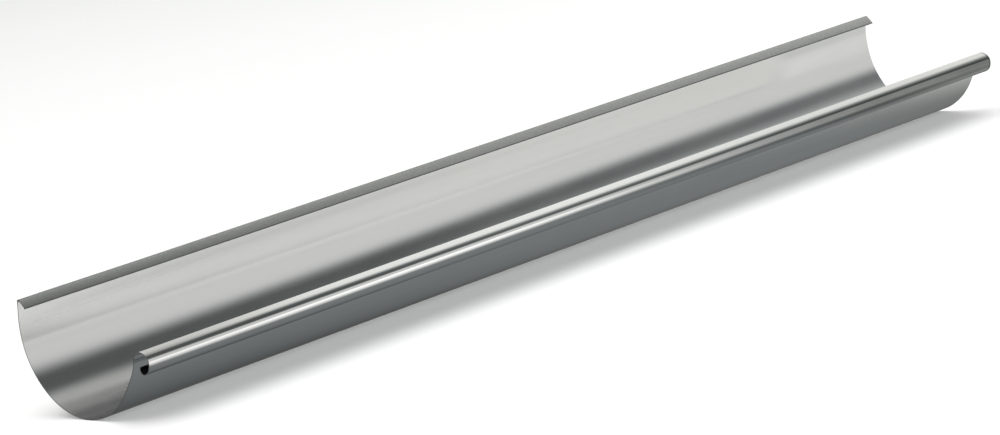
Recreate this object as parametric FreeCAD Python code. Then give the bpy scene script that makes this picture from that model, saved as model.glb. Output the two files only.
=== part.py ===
import FreeCAD, Part
import math
import os

os.makedirs("parts", exist_ok=True)

# ---------------------------------------------------------------- dimensions
# One rolled length of half-round eaves gutter, millimetres, +Z up.
# +X runs along the gutter, -Y is the front with the rolled bead, +Y is the
# back with the narrow fold. The section lies as it comes to rest on a level
# floor, the round bottom touching at Z = 0.
length = 1000.0            # cut length
sheet = 0.7                # sheet thickness
inner_dia = 127.0          # inside diameter of the half-round trough
bead_dia = 18.0            # outside diameter of the rolled bead
bead_start = 4.0           # degrees of the half circle left out before the bead
bead_full = 246.0          # degrees of the bead at full radius
curl_radius = 3.6          # mid-sheet radius of the turned-in free edge
curl_sweep = 136.0         # degrees of the turned-in free edge
back_top = 15.0            # top of the back wall above the trough axis
fold_bend_inside = 1.2     # inside radius of the bend at the top of the back wall
fold_slope = 46.0          # degrees below level of the folded lip
fold_flat = 7.6            # flat width of the lip beyond its bend
rest_turn = 11.03          # degrees the section turns about its axis at rest

half = sheet / 2.0
r_mid = inner_dia / 2.0 + half


def on(centre, radius, deg):
    a = math.radians(deg)
    return (centre[0] + radius * math.cos(a), centre[1] + radius * math.sin(a))


# ------------------------------------------------- mid-line of the sheet (Y, Z)
# Each arc is (centre, radius, start angle, end angle) about the trough axis at
# (0, 0); the sense of travel is from the lip's free edge to the curl's.
bend_r = fold_bend_inside + half
bend_turn = 90.0 + fold_slope
bend_c = (r_mid - bend_r, back_top - bend_r - half)
lip_top = on(bend_c, bend_r, bend_turn)
lip_dir = (-math.sin(math.radians(bend_turn)), math.cos(math.radians(bend_turn)))
lip_end = (lip_top[0] + lip_dir[0] * fold_flat, lip_top[1] + lip_dir[1] * fold_flat)

bead_r = bead_dia / 2.0 - half
body_end = -(180.0 - bead_start)
bead_c = on((0.0, 0.0), r_mid + bead_r, body_end)
bead_a0 = bead_start
bead_a1 = bead_start + bead_full
curl_c = on(bead_c, bead_r - curl_radius, bead_a1)

path = [
    ("line", lip_end, lip_top),
    ("arc", bend_c, bend_r, bend_turn, 0.0),
    ("line", (r_mid, bend_c[1]), (r_mid, 0.0)),
    ("arc", (0.0, 0.0), r_mid, 0.0, body_end),
    ("arc", bead_c, bead_r, bead_a0, bead_a1),
    ("arc", curl_c, curl_radius, bead_a1, bead_a1 + curl_sweep),
]


# ------------------------------------------------------------ section outline
def lay(p):
    """Section point turned into the resting attitude and set on the floor."""
    a = math.radians(rest_turn)
    y = p[0] * math.cos(a) - p[1] * math.sin(a)
    z = p[0] * math.sin(a) + p[1] * math.cos(a)
    return FreeCAD.Vector(-length / 2.0, y, z)


def face_edges(side):
    """Edges of one face of the sheet; side +1 is left of travel, -1 right."""
    edges = []
    for seg in path:
        if seg[0] == "line":
            (y0, z0), (y1, z1) = seg[1], seg[2]
            d = math.hypot(y1 - y0, z1 - z0)
            ny, nz = -(z1 - z0) / d * half * side, (y1 - y0) / d * half * side
            edges.append(Part.makeLine(lay((y0 + ny, z0 + nz)), lay((y1 + ny, z1 + nz))))
        else:
            c, r, a0, a1 = seg[1:]
            turn = 1.0 if a1 > a0 else -1.0
            rr = r - turn * side * half
            pts = [lay(on(c, rr, a0 + (a1 - a0) * k)) for k in (0.0, 0.5, 1.0)]
            edges.append(Part.Arc(*pts).toShape())
    return edges


left = face_edges(1.0)
right = face_edges(-1.0)
cap0 = Part.makeLine(left[0].Vertexes[0].Point, right[0].Vertexes[0].Point)
cap1 = Part.makeLine(left[-1].Vertexes[-1].Point, right[-1].Vertexes[-1].Point)
wire = Part.Wire(Part.__sortEdges__(left + right + [cap0, cap1]))
section = Part.Face(wire)

# ---------------------------------------------------------------- rolled piece
gutter = section.extrude(FreeCAD.Vector(length, 0.0, 0.0))
box = gutter.optimalBoundingBox()
gutter.translate(FreeCAD.Vector(0.0, -(box.YMin + box.YMax) / 2.0, -box.ZMin))
gutter.exportStep("parts/gutter_section.step")
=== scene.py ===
import math
import random

import bmesh
import bpy
from mathutils import Matrix, Vector


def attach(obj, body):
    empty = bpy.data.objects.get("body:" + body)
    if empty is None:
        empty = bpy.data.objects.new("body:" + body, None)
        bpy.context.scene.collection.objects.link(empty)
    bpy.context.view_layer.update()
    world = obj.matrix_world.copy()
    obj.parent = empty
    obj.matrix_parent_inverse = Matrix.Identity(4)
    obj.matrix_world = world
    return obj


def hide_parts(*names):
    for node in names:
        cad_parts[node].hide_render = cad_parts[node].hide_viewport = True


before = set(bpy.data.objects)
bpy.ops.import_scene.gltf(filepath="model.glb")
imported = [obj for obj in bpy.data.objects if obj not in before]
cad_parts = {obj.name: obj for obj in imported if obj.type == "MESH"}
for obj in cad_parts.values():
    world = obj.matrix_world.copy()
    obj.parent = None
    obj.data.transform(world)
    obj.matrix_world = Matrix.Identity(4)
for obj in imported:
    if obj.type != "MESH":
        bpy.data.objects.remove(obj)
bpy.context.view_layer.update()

MM = 0.001
random.seed(7)

# ------------------------------------------------------------------ dimensions
# The same section as the CAD node's, millimetres about the trough axis (Y, Z).
LENGTH = 1000.0
SHEET = 0.7
INNER_DIA = 127.0
BEAD_DIA = 18.0
BEAD_START = 4.0
BEAD_FULL = 246.0
CURL_RADIUS = 3.6
CURL_SWEEP = 136.0
BACK_TOP = 15.0
FOLD_BEND_INSIDE = 1.2
FOLD_SLOPE = 42.0
FOLD_FLAT = 8.0
LIP_CROWN = 12.0            # degrees the lip curves over its width
REST_TURN = 11.03
SHIFT_Y, SHIFT_Z = 7.409894, 64.2

HALF = SHEET / 2.0
R_MID = INNER_DIA / 2.0 + HALF
EDGE = 0.12                 # rounding of the cut edges
# how far the rolled bead departs from its full circle: (degrees, mm)
BEAD_SHAPE = ((6.0, 0.0), (59.0, -0.3), (76.0, -0.33), (92.0, -0.52), (106.0, -0.55),
              (122.0, -0.47), (140.0, -0.26), (154.0, 0.02), (170.0, -0.2), (189.0, -0.28),
              (215.0, -0.12), (250.0, 0.0))
RIM_DIP = 0.3               # the back rim lies this much lower away from its near end
TRIM_NEAR, TRIM_FAR = 3.2, 2.4   # the bead's ends are cut back from the trough's
TRIM_RIM = 1.8              # and the back rim's far corner


def on(centre, radius, deg):
    a = math.radians(deg)
    return (centre[0] + radius * math.cos(a), centre[1] + radius * math.sin(a))


bend_r = FOLD_BEND_INSIDE + HALF
bend_turn = 90.0 + FOLD_SLOPE - LIP_CROWN / 2.0
bend_c = (R_MID - bend_r, BACK_TOP - bend_r - HALF)
lip_r = FOLD_FLAT / math.radians(LIP_CROWN)
lip_c = on(bend_c, bend_r - lip_r, bend_turn)
bead_r = BEAD_DIA / 2.0 - HALF
body_end = -(180.0 - BEAD_START)
bead_c = on((0.0, 0.0), R_MID + bead_r, body_end)
bead_a0, bead_a1 = BEAD_START, BEAD_START + BEAD_FULL
curl_c = on(bead_c, bead_r - CURL_RADIUS, bead_a1)

PATH = [
    ("arc", lip_c, lip_r, bend_turn + LIP_CROWN, bend_turn, 12),
    ("arc", bend_c, bend_r, bend_turn, 0.0, 18),
    ("line", (R_MID, bend_c[1]), (R_MID, 0.0), 8),
    ("arc", (0.0, 0.0), R_MID, 0.0, body_end, 176),
    ("arc", bead_c, bead_r, bead_a0, bead_a1, 84),
    ("arc", curl_c, CURL_RADIUS, bead_a1, bead_a1 + CURL_SWEEP, 28),
]


def step(a, b, v):
    t = min(1.0, max(0.0, (v - a) / (b - a)))
    return t * t * (3.0 - 2.0 * t)


def bead_radius(deg):
    """The bead is pressed a little flat on its upper front, with a soft corner below."""
    total = 0.0
    for k in range(-8, 9):
        a = min(BEAD_SHAPE[-1][0], max(BEAD_SHAPE[0][0], deg + k))
        for (a0, r0), (a1, r1) in zip(BEAD_SHAPE, BEAD_SHAPE[1:]):
            if a <= a1:
                total += r0 + (r1 - r0) * (a - a0) / (a1 - a0)
                break
    ends = step(2.0, 16.0, deg) * (1.0 - step(238.0, 252.0, deg))
    return bead_r + total / 17.0 * ends


PARTS = ("lip", "bend", "wall", "body", "bead", "curl")


def midline():
    """Mid-sheet points with their left-hand normals, from the lip's edge to the curl's."""
    out = []
    for part, seg in zip(PARTS, PATH):
        n = seg[-1]
        for k in range(n + 1):
            t = k / n
            if seg[0] == "line":
                (y0, z0), (y1, z1) = seg[1], seg[2]
                d = math.hypot(y1 - y0, z1 - z0)
                p = (y0 + (y1 - y0) * t, z0 + (z1 - z0) * t)
                nrm = (-(z1 - z0) / d, (y1 - y0) / d)
                a = t
            else:
                c, r, a0, a1 = seg[1:5]
                a = a0 + (a1 - a0) * t
                turn = 1.0 if a1 > a0 else -1.0
                tilt = 0.0
                if seg[1] is bead_c:
                    r = bead_radius(a)
                    slope = (bead_radius(a + 0.5) - bead_radius(a - 0.5)) / math.radians(1.0)
                    tilt = -math.degrees(math.atan2(slope, r))
                p = on(c, r, a)
                u = (math.cos(math.radians(a + tilt)), math.sin(math.radians(a + tilt)))
                nrm = (-turn * u[0], -turn * u[1])
            if out and math.hypot(p[0] - out[-1][0][0], p[1] - out[-1][0][1]) < 1e-6:
                continue
            out.append((p, nrm, part, a))
    return out


def lay(p):
    a = math.radians(REST_TURN)
    return (p[0] * math.cos(a) - p[1] * math.sin(a) + SHIFT_Y,
            p[0] * math.sin(a) + p[1] * math.cos(a) + SHIFT_Z)


def outline(inset):
    """Closed section outline, both faces and the rounded free edges, inset by a margin."""
    mid = midline()
    h = HALF - inset
    e = EDGE
    def tip(end, sense):
        # rounded corners of a free edge, from one face round to the other
        p, n, part, a0 = end
        t = (n[1] * sense, -n[0] * sense)          # outward along the sheet
        pts = []
        hh = HALF - e
        for k in range(5):
            a = math.radians(90.0 * k / 4)
            pts.append((p[0] + t[0] * (-e - inset + e * math.sin(a)) + n[0] * (hh + (e - inset) * math.cos(a)),
                        p[1] + t[1] * (-e - inset + e * math.sin(a)) + n[1] * (hh + (e - inset) * math.cos(a))))
        for k in range(4, -1, -1):
            a = math.radians(90.0 * k / 4)
            pts.append((p[0] + t[0] * (-e - inset + e * math.sin(a)) - n[0] * (hh + (e - inset) * math.cos(a)),
                        p[1] + t[1] * (-e - inset + e * math.sin(a)) - n[1] * (hh + (e - inset) * math.cos(a))))
        return pts
    left = [(p[0] + n[0] * h, p[1] + n[1] * h) for p, n, _, _ in mid[1:-1]]
    right = [(p[0] - n[0] * h, p[1] - n[1] * h) for p, n, _, _ in mid[1:-1]]
    loop = left + tip(mid[-1], 1.0) + right[::-1] + list(reversed(tip(mid[0], -1.0)))
    tag = lambda side: [(part, a, side) for _, _, part, a in mid[1:-1]]
    tags = tag(1) + [("curl", 0.0, 0)] * 10 + tag(-1)[::-1] + [("lip", 0.0, 0)] * 10
    return [lay(p) for p in loop], tags, len(left)


def finish_of(part, a, side, x):
    """Finish by place: grainier folded lip and brighter-rolled bead; painted shade as a darker stripe
    along the bead's front towards +X, on its underside, its top by the -X end, the bends, the lip's
    free edge and the trough's floor by the -X end; a pale bloom under the fold beside the -X end;
    and painted black shade within the curl and the bead."""
    lip = bead = painted_shade = shade_and_edge_dark = matte = bloom = 0.0
    if part == "lip":
        lip = 1.0 if side > 0 else 0.0
        t = (a - bend_turn) / LIP_CROWN
        # painted shade: the lip's cut edge and the strip along its free edge go near black (partly the cut edge's own
        # dark tone), and the lip darkens towards its free edge, most by the -X end
        shade_and_edge_dark = 0.95 if side == 0 else (0.7 * step(0.84, 1.0, t) if side > 0 else 0.0)
        painted_shade = t * (0.02 + 0.66 * (1.0 - step(-520.0, 60.0, x))) if side > 0 else 0.0
    elif part == "bend" and side > 0:
        lip = step(70.0, 130.0, a)
        # painted shade: the bend's outer face is darkened all along, more by the -X end, in place of its highlight
        painted_shade = 0.78 + 0.12 * (1.0 - step(-500.0, -330.0, x))
    elif part == "bead" and side < 0:
        bead = step(20.0, 70.0, a)
        # painted shade: the bead's front is darkened in a stripe towards +X, its underside away from the +X end and its
        # top by the -X end, dimming its reflections
        low = 8.0 * step(150.0, 420.0, x)
        painted_shade = step(112.0, 136.0, a) * (1.0 - step(186.0 + low, 214.0 + low, a)) * step(-150.0, 400.0, x)
        painted_shade = max(painted_shade, 0.22 * step(206.0, 232.0, a) * (1.0 - step(150.0, 420.0, x)))
        painted_shade = max(painted_shade, 0.34 * (1.0 - step(100.0, 125.0, a)) * (1.0 - step(-440.0, -300.0, x)))
        # painted shade: a dark line on the bead's last 0.7 mm at the +X end
        shade_and_edge_dark = 0.6 * step(498.6, 499.3, x)
    elif part == "bead" and side > 0:
        # painted shade: the interior faces of the bead and the curl are painted near black
        shade_and_edge_dark = step(182.0, 200.0, a)
    elif part == "curl":
        shade_and_edge_dark = 1.0 if side > 0 else 0.0
    if side < 0 and part in ("wall", "body"):
        turn = a if part == "body" else 0.0
        bloom = 0.58 * (1.0 - step(3.0, -17.0, turn)) * (1.0 - step(-560.0, -20.0, x))
        matte = 0.5 * step(-60.0, -76.0, turn) * (1.0 - step(-440.0, -330.0, x))
        # painted shade: the lower interior of the trough is darkened by the -X end
        painted_shade = 0.6 * matte
    return lip, bead, painted_shade, shade_and_edge_dark, matte, bloom


def stations():
    """(x, inset) along the length: rounded cut ends and the run between them."""
    half = LENGTH / 2.0
    out = [(-half, EDGE)]
    for a in (30.0, 60.0, 90.0):
        c, d = math.cos(math.radians(a)), math.sin(math.radians(a))
        out.append((-half + EDGE * (1 - c), EDGE * (1 - d)))
    out += [(-half + EDGE + 0.12, 0.0), (-half + 0.8, 0.0), (-half + 3.0, 0.0)]
    n = 50
    inner = half - 3.0
    run = [(-inner + 2 * inner * k / n, 0.0) for k in range(1, n)]
    return out + run + [(-x, i) for x, i in reversed(out)]


def placed(x, y, z, part, a):
    """A section point at a station: ends not quite square, rim a little lower away from one."""
    w = 1.0 if part in ("bead", "curl") else (step(-150.0, -175.0, a) if part == "body" else 0.0)
    near = TRIM_NEAR * w * step(-420.0, -500.0, x)
    far = TRIM_FAR * step(SHIFT_Y, -60.0, y) * step(420.0, 500.0, x)
    rim = step(45.0, 66.0, y) * step(58.0, 90.0, z)
    far += TRIM_RIM * rim * step(450.0, 500.0, x)
    drop = RIM_DIP * step(30.0, 88.0, z) * step(40.0, 62.0, y) * step(-495.0, -380.0, x)
    return (x + near - far) * MM, (y - 0.03) * MM, ((z - drop) * 0.99995 + 0.003) * MM


def sheet_mesh(name):
    bm = bmesh.new()
    layers = [bm.verts.layers.float.new(k) for k in ("lip", "bead", "painted_shade", "shade_and_edge_dark", "matte", "bloom")]
    rings = []
    for x, inset in stations():
        pts, tags, faces = outline(inset)
        ring = []
        for (y, z), t in zip(pts, tags):
            v = bm.verts.new(placed(x, y, z, t[0], t[1]))
            for layer, value in zip(layers, finish_of(*t, x)):
                v[layer] = value
            ring.append(v)
        rings.append(ring)
    m = len(rings[0])
    for a, b in zip(rings, rings[1:]):
        for k in range(m):
            f = bm.faces.new((a[k], a[(k + 1) % m], b[(k + 1) % m], b[k]))
            # painted shade: the rounded edge strips at both ends take the dark cut-end material
            f.material_index = 1 if a in rings[:3] or b in rings[-3:] else 0
            f.smooth = True
    # the cut faces: quads across the thickness from the lip to the curl
    n = faces
    for ring, flip in ((rings[0], False), (rings[-1], True)):
        left = ring[:n]
        tip1 = ring[n:n + 10]
        right = ring[n + 10:n + 10 + n]
        tip0 = ring[n + 10 + n:]
        quads = [(left[k], left[k + 1], right[n - 2 - k], right[n - 1 - k]) for k in range(n - 1)]
        quads.append(tuple([left[n - 1]] + tip1 + [right[0]]))
        quads.append(tuple([right[n - 1]] + tip0 + [left[0]]))
        for q in quads:
            f = bm.faces.new(q if flip else tuple(reversed(q)))
            f.material_index = 1
            f.smooth = False
    bmesh.ops.recalc_face_normals(bm, faces=bm.faces)
    me = bpy.data.meshes.new(name)
    bm.to_mesh(me)
    bm.free()
    ob = bpy.data.objects.new(name, me)
    bpy.context.scene.collection.objects.link(ob)
    return ob


# ------------------------------------------------------------------- materials
class Nodes:
    def __init__(self, tree):
        self.t = tree
        tree.nodes.clear()

    def add(self, kind, **kw):
        n = self.t.nodes.new(kind)
        for k, v in kw.items():
            setattr(n, k, v)
        return n

    def link(self, a, b):
        self.t.links.new(a, b)

    def math(self, op, a, b=None, c=None, clamp=False):
        n = self.add("ShaderNodeMath", operation=op, use_clamp=clamp)
        for i, v in enumerate((a, b, c)):
            if v is None:
                continue
            if isinstance(v, (int, float)):
                n.inputs[i].default_value = v
            else:
                self.link(v, n.inputs[i])
        return n.outputs[0]

    def ramp(self, value, lo, hi, to_lo=0.0, to_hi=1.0, kind="SMOOTHSTEP"):
        n = self.add("ShaderNodeMapRange", interpolation_type=kind)
        for name, v in (("Value", value), ("From Min", lo), ("From Max", hi),
                        ("To Min", to_lo), ("To Max", to_hi)):
            if isinstance(v, (int, float)):
                n.inputs[name].default_value = v
            else:
                self.link(v, n.inputs[name])
        return n.outputs["Result"]

    def noise(self, vec, scale, detail=3.0, rough=0.5):
        n = self.add("ShaderNodeTexNoise")
        n.inputs["Scale"].default_value = scale
        n.inputs["Detail"].default_value = detail
        n.inputs["Roughness"].default_value = rough
        self.link(vec, n.inputs["Vector"])
        return n.outputs["Fac"]

    def mapping(self, vec, scale):
        n = self.add("ShaderNodeMapping")
        n.inputs["Scale"].default_value = scale
        self.link(vec, n.inputs["Vector"])
        return n.outputs["Vector"]

    def mix(self, fac, a, b):
        n = self.add("ShaderNodeMix", data_type="RGBA")
        if isinstance(fac, (int, float)):
            n.inputs[0].default_value = fac
        else:
            self.link(fac, n.inputs[0])
        for i, v in ((6, a), (7, b)):
            if isinstance(v, tuple):
                n.inputs[i].default_value = (*v, 1.0)
            else:
                self.link(v, n.inputs[i])
        return n.outputs[2]


def zinc(name, lo, hi, rough, bump=1.0, lines=1.0):
    """Bright-rolled zinc: fine lengthwise rolling lines, broad soft bands, faint clouding."""
    mat = bpy.data.materials.new(name)
    mat.use_nodes = True
    g = Nodes(mat.node_tree)
    out = g.add("ShaderNodeOutputMaterial")
    bsdf = g.add("ShaderNodeBsdfPrincipled")
    g.link(bsdf.outputs[0], out.inputs["Surface"])
    co = g.add("ShaderNodeTexCoord").outputs["Object"]
    fine = g.noise(g.mapping(co, (9.0, 900.0, 900.0)), 1.0, 4.0, 0.6)
    hair = g.noise(g.mapping(co, (25.0, 2600.0, 2600.0)), 1.0, 2.0, 0.5)
    band = g.noise(g.mapping(co, (1.6, 95.0, 95.0)), 1.0, 2.0, 0.45)
    cloud = g.noise(g.mapping(co, (14.0, 26.0, 26.0)), 1.0, 4.0, 0.55)
    tone = g.math("ADD", g.math("MULTIPLY", band, 0.45), g.math("MULTIPLY", cloud, 0.35))
    tone = g.math("ADD", tone, g.math("MULTIPLY", fine, 0.20))
    tone = g.ramp(tone, 0.34, 0.66)
    lip = g.add("ShaderNodeAttribute", attribute_name="lip").outputs["Fac"]
    bead = g.add("ShaderNodeAttribute", attribute_name="bead").outputs["Fac"]
    painted_shade = g.add("ShaderNodeAttribute", attribute_name="painted_shade").outputs["Fac"]
    shade_and_edge_dark = g.add("ShaderNodeAttribute", attribute_name="shade_and_edge_dark").outputs["Fac"]
    matte = g.add("ShaderNodeAttribute", attribute_name="matte").outputs["Fac"]
    bloom = g.add("ShaderNodeAttribute", attribute_name="bloom").outputs["Fac"]
    g.link(g.math("SUBTRACT", 1.0, g.math("MULTIPLY", bloom, g.ramp(cloud, 0.3, 0.7, 0.9, 1.0))),
           bsdf.inputs["Metallic"])
    # painted shade: where the shade attribute is set, the colour is mixed towards dark grey, patchy with the clouding
    patchy_shade = g.math("MULTIPLY", painted_shade, g.ramp(cloud, 0.25, 0.75, 0.85, 1.0))
    colour = g.mix(patchy_shade, g.mix(tone, lo, hi), (0.222, 0.23, 0.226))
    grain = g.noise(g.mapping(co, (420.0, 1200.0, 1200.0)), 1.0, 2.0, 0.6)
    grain = g.math("MULTIPLY", g.ramp(grain, 0.3, 0.7, 0.0, 1.0, "LINEAR"),
                   g.math("MAXIMUM", lip, g.math("MULTIPLY", bead, 0.30)))
    colour = g.mix(g.math("MULTIPLY", grain, 0.42), colour, (0.40, 0.40, 0.39))
    # painted shade: near black where the dark attribute is set, within the curl and bead, on the lip's edge and at the
    # bead's +X end
    colour = g.mix(shade_and_edge_dark, colour, (0.045, 0.045, 0.045))
    g.link(colour, bsdf.inputs["Base Color"])
    r = g.math("ADD", g.math("MULTIPLY", fine, 0.05 * lines), g.math("MULTIPLY", cloud, 0.07))
    r = g.math("ADD", r, g.math("MULTIPLY", band, 0.03))
    r = g.math("ADD", r, rough - 0.075)
    r = g.math("ADD", r, g.math("MULTIPLY", lip, 0.24))
    r = g.math("SUBTRACT", r, g.math("MULTIPLY", bead, 0.05))
    r = g.math("ADD", r, g.math("MULTIPLY", shade_and_edge_dark, 0.35))
    r = g.math("ADD", r, g.math("MULTIPLY", matte, 0.20))
    g.link(r, bsdf.inputs["Roughness"])
    b1 = g.add("ShaderNodeBump")
    b1.inputs["Strength"].default_value = 0.35 * bump
    b1.inputs["Distance"].default_value = 0.000006
    g.link(fine, b1.inputs["Height"])
    b2 = g.add("ShaderNodeBump")
    b2.inputs["Strength"].default_value = 0.35 * bump
    b2.inputs["Distance"].default_value = 0.00006
    g.link(band, b2.inputs["Height"])
    g.link(b1.outputs[0], b2.inputs["Normal"])
    b3 = g.add("ShaderNodeBump")
    b3.inputs["Strength"].default_value = 0.25 * bump
    b3.inputs["Distance"].default_value = 0.000002
    g.link(hair, b3.inputs["Height"])
    g.link(b2.outputs[0], b3.inputs["Normal"])
    g.link(b3.outputs[0], bsdf.inputs["Normal"])
    return mat


def cut_edge(name):
    """The sheared end of the sheet: fine upright shear marks, a little rougher than the faces, and a dark grey colour
    that is painted shade.
    """
    mat = bpy.data.materials.new(name)
    mat.use_nodes = True
    g = Nodes(mat.node_tree)
    out = g.add("ShaderNodeOutputMaterial")
    bsdf = g.add("ShaderNodeBsdfPrincipled")
    g.link(bsdf.outputs[0], out.inputs["Surface"])
    bsdf.inputs["Metallic"].default_value = 1.0
    co = g.add("ShaderNodeTexCoord").outputs["Object"]
    marks = g.noise(g.mapping(co, (300.0, 3200.0, 1100.0)), 1.0, 3.0, 0.6)
    # painted shade: the cut ends are coloured dark grey, far below the sheet's faces
    g.link(g.mix(g.ramp(marks, 0.35, 0.65), (0.17, 0.175, 0.18), (0.34, 0.345, 0.34)), bsdf.inputs["Base Color"])
    g.link(g.ramp(marks, 0.3, 0.7, 0.30, 0.46), bsdf.inputs["Roughness"])
    b = g.add("ShaderNodeBump")
    b.inputs["Strength"].default_value = 0.5
    b.inputs["Distance"].default_value = 0.00002
    g.link(marks, b.inputs["Height"])
    g.link(b.outputs[0], bsdf.inputs["Normal"])
    return mat


# ----------------------------------------------------------------------- piece
gutter = sheet_mesh("gutter_sheet")
gutter.data.materials.append(zinc("zinc_rolled", (0.80, 0.802, 0.80), (0.84, 0.84, 0.835), 0.16))
gutter.data.materials.append(cut_edge("zinc_cut"))
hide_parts("gutter_section")
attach(gutter, "root")

# ----------------------------------------------------------------------- floor
bm = bmesh.new()
bmesh.ops.create_grid(bm, x_segments=24, y_segments=24, size=30.0)
me = bpy.data.meshes.new("floor")
bm.to_mesh(me)
bm.free()
floor = bpy.data.objects.new("floor", me)
bpy.context.scene.collection.objects.link(floor)
fm = bpy.data.materials.new("floor_pale")
fm.use_nodes = True
g = Nodes(fm.node_tree)
out = g.add("ShaderNodeOutputMaterial")
bsdf = g.add("ShaderNodeBsdfPrincipled")
g.link(bsdf.outputs[0], out.inputs["Surface"])
co = g.add("ShaderNodeTexCoord").outputs["Object"]
soft = g.noise(g.mapping(co, (1.5, 1.5, 1.5)), 1.0, 3.0, 0.5)
g.link(g.mix(soft, (0.90, 0.90, 0.90), (0.93, 0.93, 0.93)), bsdf.inputs["Base Color"])
g.link(g.ramp(soft, 0.3, 0.7, 0.75, 0.85), bsdf.inputs["Roughness"])
bsdf.inputs["Specular IOR Level"].default_value = 0.0
floor.data.materials.append(fm)
floor.visible_glossy = False

# ----------------------------------------------------------------------- light
# Long soft panels that run with the gutter: a broad one above and behind, a low
# one in front, and a darker gap between them. The world carries them, so they
# are the same from every side.
scene = bpy.context.scene
world = bpy.data.worlds.new("studio")
scene.world = world
world.use_nodes = True
g = Nodes(world.node_tree)
out = g.add("ShaderNodeOutputWorld")
bg = g.add("ShaderNodeBackground")
plain = g.add("ShaderNodeBackground")
plain.inputs["Color"].default_value = (0.94, 0.94, 0.94, 1.0)
ray = g.add("ShaderNodeLightPath")
mixer = g.add("ShaderNodeMixShader")
g.link(ray.outputs["Is Camera Ray"], mixer.inputs[0])
g.link(bg.outputs[0], mixer.inputs[1])
g.link(plain.outputs[0], mixer.inputs[2])
g.link(mixer.outputs[0], out.inputs["Surface"])
d = g.add("ShaderNodeTexCoord").outputs["Generated"]
sep = g.add("ShaderNodeSeparateXYZ")
g.link(d, sep.inputs[0])
dx, dy, dz = sep.outputs
SEAM = 30.0
ang = g.math("MULTIPLY", g.math("ARCTAN2", dz, dy), 180.0 / math.pi)   # from +Y towards +Z
ang = g.math("MODULO", g.math("ADD", ang, 360.0 + SEAM), 360.0)
px = g.math("MINIMUM", g.math("MAXIMUM", dx, 0.52), 0.80)


def edge(centre, width, up=True):
    """Soft step across an angle; centre and width may vary along the gutter."""
    if isinstance(centre, (int, float)) and isinstance(width, (int, float)):
        a, b = centre - width + SEAM, centre + width + SEAM
    else:
        mid = g.math("ADD", centre, SEAM)
        a, b = g.math("SUBTRACT", mid, width), g.math("ADD", mid, width)
    return g.ramp(ang, a, b, 0.0 if up else 1.0, 1.0 if up else 0.0)


def along(lo, hi, a, b):
    return g.ramp(px, lo, hi, a, b)


end = along(0.60, 0.635, 1.0, 0.0)          # towards the gutter's own direction of run
base = along(0.62, 0.74, 0.088, 0.172)
top_edge = g.math("ADD", g.math("MULTIPLY", px, 190.0), 88.0 - 0.6 * 190.0)
front_edge = g.math("ADD", g.math("MULTIPLY", px, 75.0), 138.0 - 0.6 * 75.0)
top_level = g.math("MULTIPLY", along(0.58, 0.65, 0.78, 0.90), along(0.68, 0.745, 1.0, 0.80))
top = edge(g.math("SUBTRACT", top_edge, g.math("MULTIPLY", end, 15.0)), 18.0, False)
top = g.math("MULTIPLY", g.math("MULTIPLY", top, edge(along(0.58, 0.66, 16.0, -4.0), 18.0)), top_level)
ledge = g.math("MULTIPLY", g.math("MULTIPLY", edge(70.0, 18.0), edge(101.0, 9.0, False)), g.math("MULTIPLY", end, 0.31))
foot = g.math("MULTIPLY", edge(along(0.58, 0.66, 16.0, -4.0), 18.0, False), along(0.58, 0.66, 0.06, 0.0))
front = edge(g.math("ADD", front_edge, along(0.575, 0.60, 6.0, 0.0)), along(0.575, 0.60, 16.0, 9.0))
front = g.math("MULTIPLY", front, edge(along(0.69, 0.72, 207.0, 220.0), along(0.62, 0.70, 20.0, 13.0), False))
front = g.math("MULTIPLY", front, g.math("MULTIPLY", along(0.58, 0.64, 0.595, 0.62), along(0.66, 0.74, 1.0, 0.88)))
strip = g.math("MULTIPLY", g.math("MULTIPLY", edge(182.0, 8.0), edge(211.0, 20.0, False)), along(0.67, 0.72, 1.0, 0.0))
strip = g.math("MULTIPLY", strip, along(0.60, 0.64, 0.50, 0.72))
fall = g.math("MULTIPLY", edge(282.0, 48.0), along(0.58, 0.74, 1.0, 0.30))
low = g.math("MULTIPLY", g.math("MULTIPLY", edge(208.0, 14.0), edge(316.0, 14.0, False)),
             g.math("SUBTRACT", along(0.58, 0.66, 0.205, 0.232), base))
low = g.math("MULTIPLY", low, g.math("SUBTRACT", 1.0, fall))
glow = g.math("MULTIPLY", g.math("MULTIPLY", edge(218.0, 14.0), edge(266.0, 40.0, False)), along(0.752, 0.766, 0.0, 0.70))
level = g.math("ADD", g.math("ADD", top, front), g.math("ADD", strip, low))
level = g.math("ADD", g.math("ADD", level, g.math("ADD", ledge, foot)), g.math("ADD", glow, base))
level = g.math("MULTIPLY", level, 0.955)
# away from that direction the same panels, wider and softer
round_top = g.math("MULTIPLY", g.math("MULTIPLY", edge(20.0, 30.0), edge(104.0, 20.0, False)), 0.56)
round_front = g.math("MULTIPLY", g.math("MULTIPLY", edge(144.0, 14.0), edge(210.0, 26.0, False)), 0.46)
round_low = g.math("MULTIPLY", g.math("MULTIPLY", edge(206.0, 18.0), edge(312.0, 17.0, False)), 0.14)
round_back = g.math("MULTIPLY", edge(8.0, 26.0, False), g.ramp(ang, 0.0, 14.0, 0.06, 0.20))
round_all = g.math("ADD", g.math("ADD", round_top, round_front), g.math("ADD", round_low, round_back))
round_all = g.math("ADD", round_all, 0.135)
away = g.ramp(dx, 0.42, 0.53, 1.0, 0.0)
level = g.math("ADD", g.math("MULTIPLY", level, g.math("SUBTRACT", 1.0, away)), g.math("MULTIPLY", round_all, away))
cool = g.math("MULTIPLY", edge(220.0, 12.0), edge(318.0, 20.0, False))
gap = edge(g.math("ADD", top_edge, g.math("MULTIPLY", end, 16.0)), 8.0)
gap = g.math("MULTIPLY", gap, edge(front_edge, 8.0, False))
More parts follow.
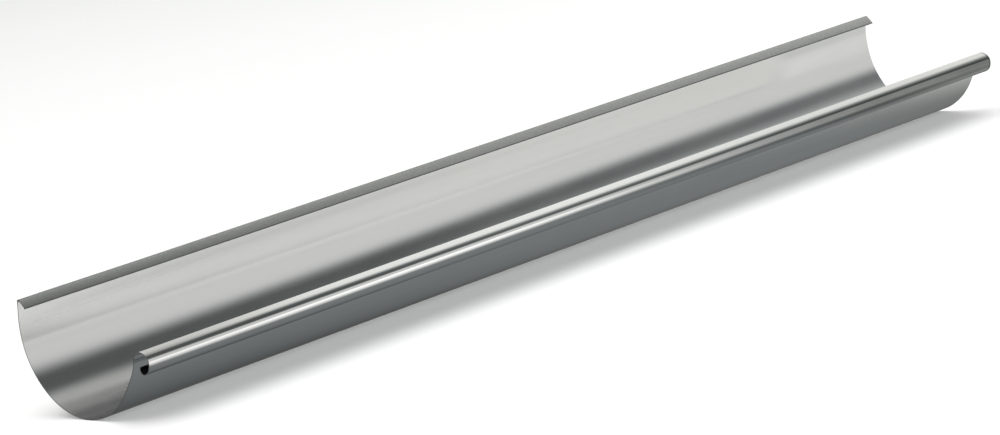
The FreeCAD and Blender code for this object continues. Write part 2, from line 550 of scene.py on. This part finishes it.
warm = g.mix(along(0.60, 0.68, 0.0, 1.0), (0.996, 1.0, 0.968), (0.992, 1.0, 0.972))
upper = g.mix(edge(130.0, 20.0), warm, (0.998, 1.0, 0.99))
upper = g.mix(along(0.745, 0.765, 0.0, 1.0), upper, (0.992, 1.0, 0.945))
upper = g.mix(gap, upper, (0.945, 1.0, 1.005))
g.link(g.mix(cool, upper, g.mix(along(0.742, 0.760, 0.0, 1.0), (0.925, 1.0, 1.015), (0.97, 1.0, 0.94))), bg.inputs["Color"])
g.link(level, bg.inputs["Strength"])

fill = bpy.data.lights.new("fill", "AREA")
fill.shape = "RECTANGLE"
fill.size, fill.size_y = 6.0, 6.0
fill.energy = 140.0
fo = bpy.data.objects.new("fill", fill)
fo.location = (0.0, 0.0, 4.0)
fo.visible_glossy = False
scene.collection.objects.link(fo)
low_fill = bpy.data.lights.new("low_fill", "AREA")
low_fill.shape = "RECTANGLE"
low_fill.size, low_fill.size_y = 5.0, 2.0
low_fill.energy = 110.0
low_fill.use_shadow = False
lo = bpy.data.objects.new("low_fill", low_fill)
lo.location = (-0.4, -3.4, 1.3)
lo.rotation_euler = (math.radians(70.0), 0.0, 0.0)
lo.visible_glossy = False
scene.collection.objects.link(lo)

# ---------------------------------------------------------------------- camera
cam = bpy.data.cameras.new("camera")
cam.sensor_fit = "HORIZONTAL"
cam.sensor_width = 36.0
cam.lens = 140.7567
cam.clip_start, cam.clip_end = 0.05, 100.0
co = bpy.data.objects.new("camera", cam)
right = Vector((0.696944, -0.696818, -0.169451)).normalized()
fwd = Vector((0.673174, 0.717154, -0.180352)).normalized()
right = (right - fwd * right.dot(fwd)).normalized()
up = right.cross(fwd)
m = Matrix((right, up, -fwd)).transposed().to_4x4()
m.translation = Vector((-2.198286, -2.276405, 0.615556))
co.matrix_world = m
scene.collection.objects.link(co)
scene.camera = co

scene.view_settings.view_transform = "Standard"
scene.view_settings.look = "None"
scene.view_settings.exposure = 0.0
scene.view_settings.gamma = 1.0
scene.cycles.use_denoising = True

# ------------------------------------------------------------------------ update
bpy.context.view_layer.update()
